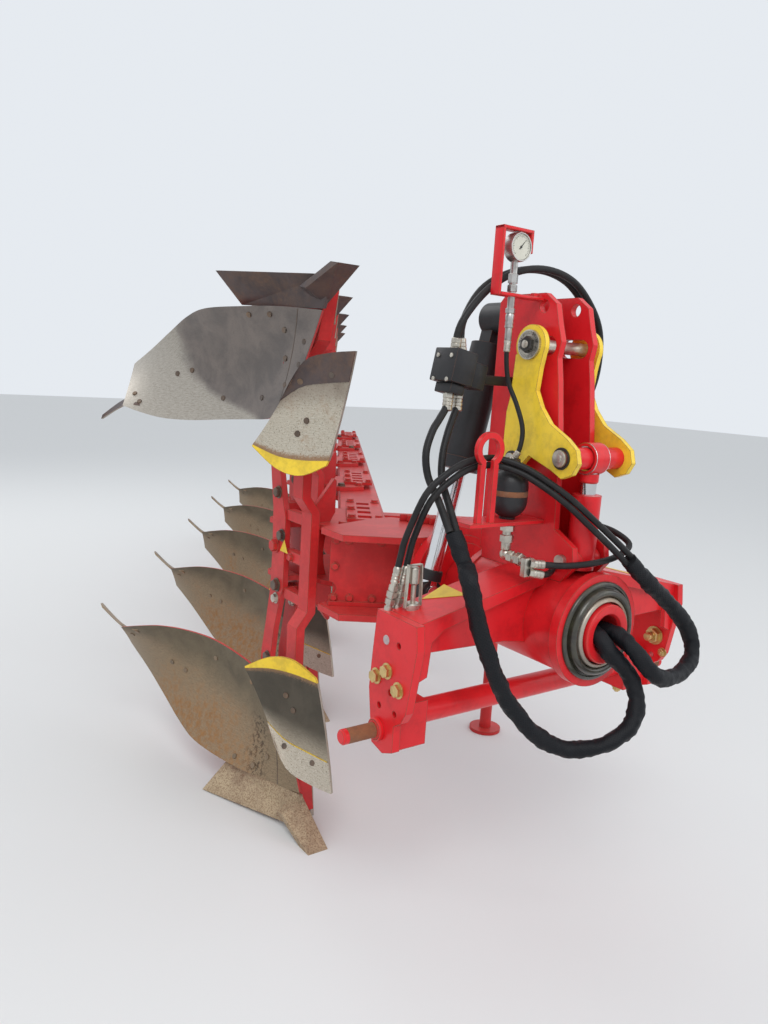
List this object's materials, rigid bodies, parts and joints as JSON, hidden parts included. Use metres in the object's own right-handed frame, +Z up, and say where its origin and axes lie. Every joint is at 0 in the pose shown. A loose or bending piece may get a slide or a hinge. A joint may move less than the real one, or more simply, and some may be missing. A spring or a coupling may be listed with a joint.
{
  "type": "mounted reversible plough",
  "caption": "Mounted reversible mouldboard plough with a turnover headstock, mirrored upper and lower bodies with skimmers, and a parking stand.",
  "frame": {"origin": "middle of the line between the two lower link pins", "axes": "+X to the plough's left, +Y to the rear along the direction of travel reversed, +Z up"},
  "size_m": [2.7886, 5.211, 1.84],
  "materials": {
    "red_paint": "slightly faded gloss",
    "black_paint": "satin",
    "yellow_paint": "satin",
    "worn_steel": "worn and rust spotted",
    "rusty_steel": "rusty",
    "bright_steel": "brushed",
    "zinc": "zinc plated",
    "chrome": "polished",
    "hose_rubber": "matt",
    "sleeve_fabric": "woven"
  },
  "bodies": {
    "headstock": {"turnover_housing": "red_paint", "seal_ring": "black_paint", "cross_arms": "red_paint", "side_plates": "red_paint", "link_pins": "rusty_steel", "cross_shaft": "red_paint", "shaft_clamps": "red_paint", "mast_plates": "red_paint", "mast_web": "red_paint", "accumulator": "black_paint", "shelf_and_hose_guide": "red_paint", "pressure_gauge": "bright_steel", "gauge_bracket": "red_paint", "valve_block": "black_paint", "couplers": "zinc", "stored_pin": "zinc", "lift_pin": "zinc", "turn_pin": "zinc", "sleeve_guide": "sleeve_fabric", "sleeve_loop": "sleeve_fabric", "hose_ring_a": "hose_rubber", "hose_ring_b": "hose_rubber", "hose_valve_a": "hose_rubber", "hose_valve_b": "hose_rubber", "hose_mast_a": "hose_rubber", "hose_mast_b": "hose_rubber", "hose_gauge": "hose_rubber", "hose_low_a": "hose_rubber", "hose_low_b": "hose_rubber", "elbow_fitting": "zinc"},
    "plough_frame": {"turn_shaft": "red_paint", "turn_flange": "red_paint", "frame_console": "red_paint", "front_box": "red_paint", "main_beam": "red_paint", "leg_brackets": "red_paint", "legs": "red_paint", "frogs": "red_paint", "mouldboards_lower": "worn_steel", "mouldboards_upper": "worn_steel", "shares": "worn_steel", "points": "worn_steel", "landsides": "worn_steel", "tail_strips": "worn_steel", "skimmer_stalks": "red_paint", "skimmer_boards": "worn_steel", "skimmer_plates": "yellow_paint", "stand_arm": "red_paint"},
    "rocker": {"rocker_plates": "yellow_paint", "rocker_tube": "red_paint", "top_link_pin": "zinc"},
    "lift_cylinder": {"lift_barrel": "red_paint"},
    "lift_piston": {"lift_rod": "chrome"},
    "turn_cylinder": {"turn_barrel": "black_paint"},
    "turn_piston": {"turn_rod": "chrome"},
    "parking_stand": {"stand_leg": "red_paint"}
  },
  "joints": [
    {"name": "turnover", "type": "hinge", "parent": "headstock", "child": "plough_frame", "pos_m": [0, 0, 0.245], "axis": [0, 1, 0], "range_deg": [0, 180]},
    {"name": "turn_swing", "type": "hinge", "parent": "headstock", "child": "turn_cylinder", "pos_m": [0, 0.235, 1], "axis": [0, -1, 0], "range_deg": [-0.1, 13.08]},
    {"name": "turn_stroke", "type": "slide", "parent": "turn_cylinder", "child": "turn_piston", "axis": [-0.2246, 0, -0.9745], "range_m": [-0.19479, 0.001]},
    {"name": "rocker_swing", "type": "hinge", "parent": "headstock", "child": "rocker", "pos_m": [0, 0.017, 0.637], "axis": [1, 0, 0], "range_deg": [-5, 5]},
    {"name": "lift_swing", "type": "hinge", "parent": "headstock", "child": "lift_cylinder", "pos_m": [0, -0.146, 0.409], "axis": [1, 0, 0], "range_deg": [-1, 1]},
    {"name": "lift_stroke", "type": "slide", "parent": "lift_cylinder", "child": "lift_piston", "axis": [0, -0.008, 1], "range_m": [-0.016, 0.016]},
    {"name": "stand_fold", "type": "hinge", "parent": "plough_frame", "child": "parking_stand", "pos_m": [0.72201, 0.88384, 0.245], "axis": [0.8536, -0.521, 0], "range_deg": [0, 90]}
  ],
  "couplings": [
    {"joint": "turn_swing", "follows": "turnover", "ratio": 0.0721},
    {"joint": "turn_stroke", "follows": "turnover", "m_per_rad": -0.06169},
    {"joint": "lift_stroke", "follows": "rocker_swing", "m_per_rad": -0.16481},
    {"joint": "lift_swing", "follows": "rocker_swing", "ratio": 0.09687}
  ]
}
